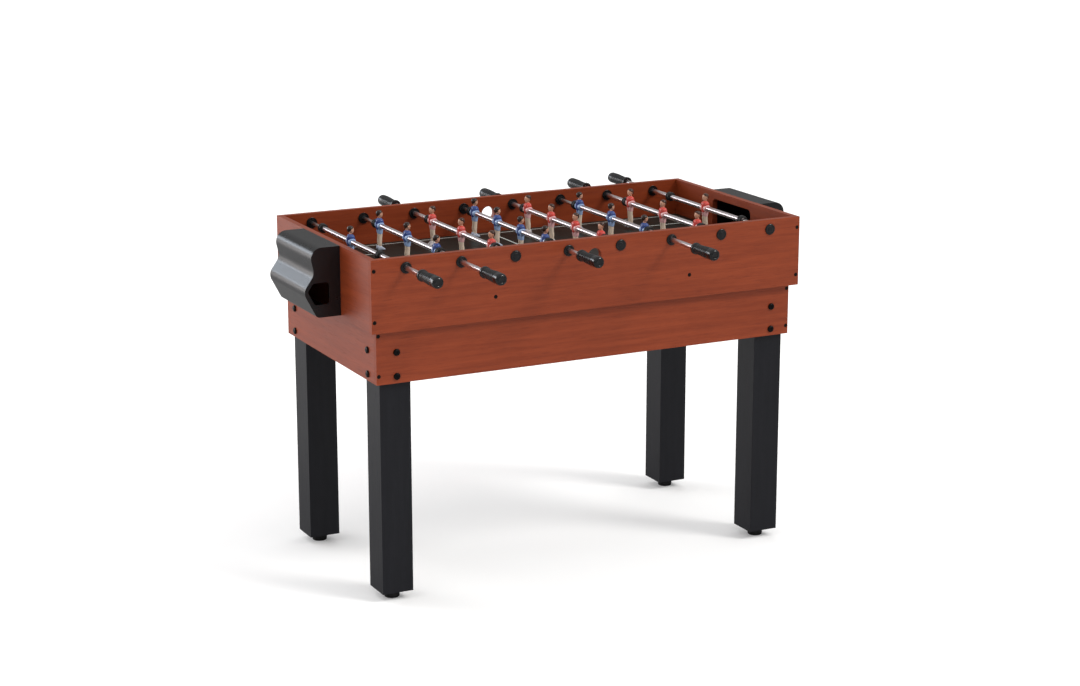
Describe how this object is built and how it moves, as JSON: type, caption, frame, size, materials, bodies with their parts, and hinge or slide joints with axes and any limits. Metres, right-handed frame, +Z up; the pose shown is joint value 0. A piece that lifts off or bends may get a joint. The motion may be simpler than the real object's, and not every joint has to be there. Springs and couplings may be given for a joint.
{
  "type": "foosball table",
  "caption": "Free-standing home foosball table: open wooden box on an apron and square legs, telescopic rods with blue and red men, black grips and a moulded ball box on each end.",
  "frame": {"origin": "on the floor, under the middle of the table", "axes": "+X along the table from the blue goal to the red goal, +Y from the front side to the rear side, +Z up"},
  "size_m": [1.363, 1.06, 0.872],
  "materials": {
    "cherry_laminate": "satin cherry wood-grain laminate on fibreboard",
    "field_laminate": "dark green-grey playfield print with pale lines",
    "raw_board": "plain softwood",
    "leg_foil": "satin black foil on board",
    "foot_plastic": "matt black moulded plastic",
    "gloss_black_plastic": "glossy black moulded plastic",
    "bearing_plastic": "black moulded nylon",
    "steel_rod": "bright drawn steel",
    "dark_screw": "dark browned steel",
    "chrome_tube": "chrome-plated steel tube",
    "grip_plastic": "black ribbed plastic grip",
    "bumper_rubber": "black rubber",
    "blue_men_plastic": "moulded plastic man, painted blue and white",
    "red_men_plastic": "moulded plastic man, painted red and white"
  },
  "bodies": {
    "cabinet": {"front_side_panel": "cherry_laminate", "rear_side_panel": "cherry_laminate", "left_end_panel": "cherry_laminate", "right_end_panel": "cherry_laminate", "playfield": "field_laminate", "field_ledgers": "raw_board", "apron_front_rail": "cherry_laminate", "apron_rear_rail": "cherry_laminate", "apron_left_rail": "cherry_laminate", "apron_right_rail": "cherry_laminate", "leg_front_left": "leg_foil", "leg_front_right": "leg_foil", "leg_rear_left": "leg_foil", "leg_rear_right": "leg_foil", "left_ball_box": "gloss_black_plastic", "right_ball_box": "gloss_black_plastic", "rod_bushings": "bearing_plastic", "blind_caps": "bearing_plastic", "bushing_nuts": "bearing_plastic", "inner_rods": "steel_rod", "corner_screws": "dark_screw", "ledger_screws": "dark_screw", "leg_bolts": "dark_screw", "ball_box_screws": "dark_screw"},
    "foot_front_left": {"foot_front_left": "foot_plastic"},
    "foot_front_right": {"foot_front_right": "foot_plastic"},
    "foot_rear_left": {"foot_rear_left": "foot_plastic"},
    "foot_rear_right": {"foot_rear_right": "foot_plastic"},
    "blue_goalie_bumper_pair": {"blue_goalie_bumpers": "bumper_rubber"},
    "blue_goalie_rod_set": {"blue_goalie_rod": "chrome_tube", "blue_goalie_men": "blue_men_plastic", "blue_goalie_handle": "grip_plastic"},
    "blue_defence_bumper_pair": {"blue_defence_bumpers": "bumper_rubber"},
    "blue_defence_rod_set": {"blue_defence_rod": "chrome_tube", "blue_defence_men": "blue_men_plastic", "blue_defence_handle": "grip_plastic"},
    "red_attack_bumper_pair": {"red_attack_bumpers": "bumper_rubber"},
    "red_attack_rod_set": {"red_attack_rod": "chrome_tube", "red_attack_men": "red_men_plastic", "red_attack_handle": "grip_plastic"},
    "blue_midfield_bumper_pair": {"blue_midfield_bumpers": "bumper_rubber"},
    "blue_midfield_rod_set": {"blue_midfield_rod": "chrome_tube", "blue_midfield_men": "blue_men_plastic", "blue_midfield_handle": "grip_plastic"},
    "red_midfield_bumper_pair": {"red_midfield_bumpers": "bumper_rubber"},
    "red_midfield_rod_set": {"red_midfield_rod": "chrome_tube", "red_midfield_men": "red_men_plastic", "red_midfield_handle": "grip_plastic"},
    "blue_attack_bumper_pair": {"blue_attack_bumpers": "bumper_rubber"},
    "blue_attack_rod_set": {"blue_attack_rod": "chrome_tube", "blue_attack_men": "blue_men_plastic", "blue_attack_handle": "grip_plastic"},
    "red_defence_bumper_pair": {"red_defence_bumpers": "bumper_rubber"},
    "red_defence_rod_set": {"red_defence_rod": "chrome_tube", "red_defence_men": "red_men_plastic", "red_defence_handle": "grip_plastic"},
    "red_goalie_bumper_pair": {"red_goalie_bumpers": "bumper_rubber"},
    "red_goalie_rod_set": {"red_goalie_rod": "chrome_tube", "red_goalie_men": "red_men_plastic", "red_goalie_handle": "grip_plastic"}
  },
  "joints": [
    {"name": "level_front_left", "type": "slide", "parent": "cabinet", "child": "foot_front_left", "axis": [0, 0, -1], "range_m": [0, 0.012]},
    {"name": "level_front_right", "type": "slide", "parent": "cabinet", "child": "foot_front_right", "axis": [0, 0, -1], "range_m": [0, 0.012]},
    {"name": "level_rear_left", "type": "slide", "parent": "cabinet", "child": "foot_rear_left", "axis": [0, 0, -1], "range_m": [0, 0.012]},
    {"name": "level_rear_right", "type": "slide", "parent": "cabinet", "child": "foot_rear_right", "axis": [0, 0, -1], "range_m": [0, 0.012]},
    {"name": "blue_goalie_push", "type": "slide", "parent": "cabinet", "child": "blue_goalie_bumper_pair", "axis": [0, 1, 0], "range_m": [-0.125, 0.065]},
    {"name": "blue_goalie_spin", "type": "hinge", "parent": "blue_goalie_bumper_pair", "child": "blue_goalie_rod_set", "pos_m": [-0.5012, 0, 0.833], "axis": [0, 1, 0], "continuous": true},
    {"name": "blue_defence_push", "type": "slide", "parent": "cabinet", "child": "blue_defence_bumper_pair", "axis": [0, 1, 0], "range_m": [-0.0935, 0.0735]},
    {"name": "blue_defence_spin", "type": "hinge", "parent": "blue_defence_bumper_pair", "child": "blue_defence_rod_set", "pos_m": [-0.358, 0, 0.833], "axis": [0, 1, 0], "continuous": true},
    {"name": "red_attack_push", "type": "slide", "parent": "cabinet", "child": "red_attack_bumper_pair", "axis": [0, 1, 0], "range_m": [-0.0835, 0.0835]},
    {"name": "red_attack_spin", "type": "hinge", "parent": "red_attack_bumper_pair", "child": "red_attack_rod_set", "pos_m": [-0.2148, 0, 0.833], "axis": [0, 1, 0], "continuous": true},
    {"name": "blue_midfield_push", "type": "slide", "parent": "cabinet", "child": "blue_midfield_bumper_pair", "axis": [0, 1, 0], "range_m": [-0.0765, 0.0345]},
    {"name": "blue_midfield_spin", "type": "hinge", "parent": "blue_midfield_bumper_pair", "child": "blue_midfield_rod_set", "pos_m": [-0.0716, 0, 0.833], "axis": [0, 1, 0], "continuous": true},
    {"name": "red_midfield_push", "type": "slide", "parent": "cabinet", "child": "red_midfield_bumper_pair", "axis": [0, 1, 0], "range_m": [-0.0525, 0.0585]},
    {"name": "red_midfield_spin", "type": "hinge", "parent": "red_midfield_bumper_pair", "child": "red_midfield_rod_set", "pos_m": [0.0716, 0, 0.833], "axis": [0, 1, 0], "continuous": true},
    {"name": "blue_attack_push", "type": "slide", "parent": "cabinet", "child": "blue_attack_bumper_pair", "axis": [0, 1, 0], "range_m": [-0.0875, 0.0795]},
    {"name": "blue_attack_spin", "type": "hinge", "parent": "blue_attack_bumper_pair", "child": "blue_attack_rod_set", "pos_m": [0.2148, 0, 0.833], "axis": [0, 1, 0], "continuous": true},
    {"name": "red_defence_push", "type": "slide", "parent": "cabinet", "child": "red_defence_bumper_pair", "axis": [0, 1, 0], "range_m": [-0.0685, 0.0985]},
    {"name": "red_defence_spin", "type": "hinge", "parent": "red_defence_bumper_pair", "child": "red_defence_rod_set", "pos_m": [0.358, 0, 0.833], "axis": [0, 1, 0], "continuous": true},
    {"name": "red_goalie_push", "type": "slide", "parent": "cabinet", "child": "red_goalie_bumper_pair", "axis": [0, 1, 0], "range_m": [-0.106, 0.084]},
    {"name": "red_goalie_spin", "type": "hinge", "parent": "red_goalie_bumper_pair", "child": "red_goalie_rod_set", "pos_m": [0.5012, 0, 0.833], "axis": [0, 1, 0], "continuous": true}
  ]
}
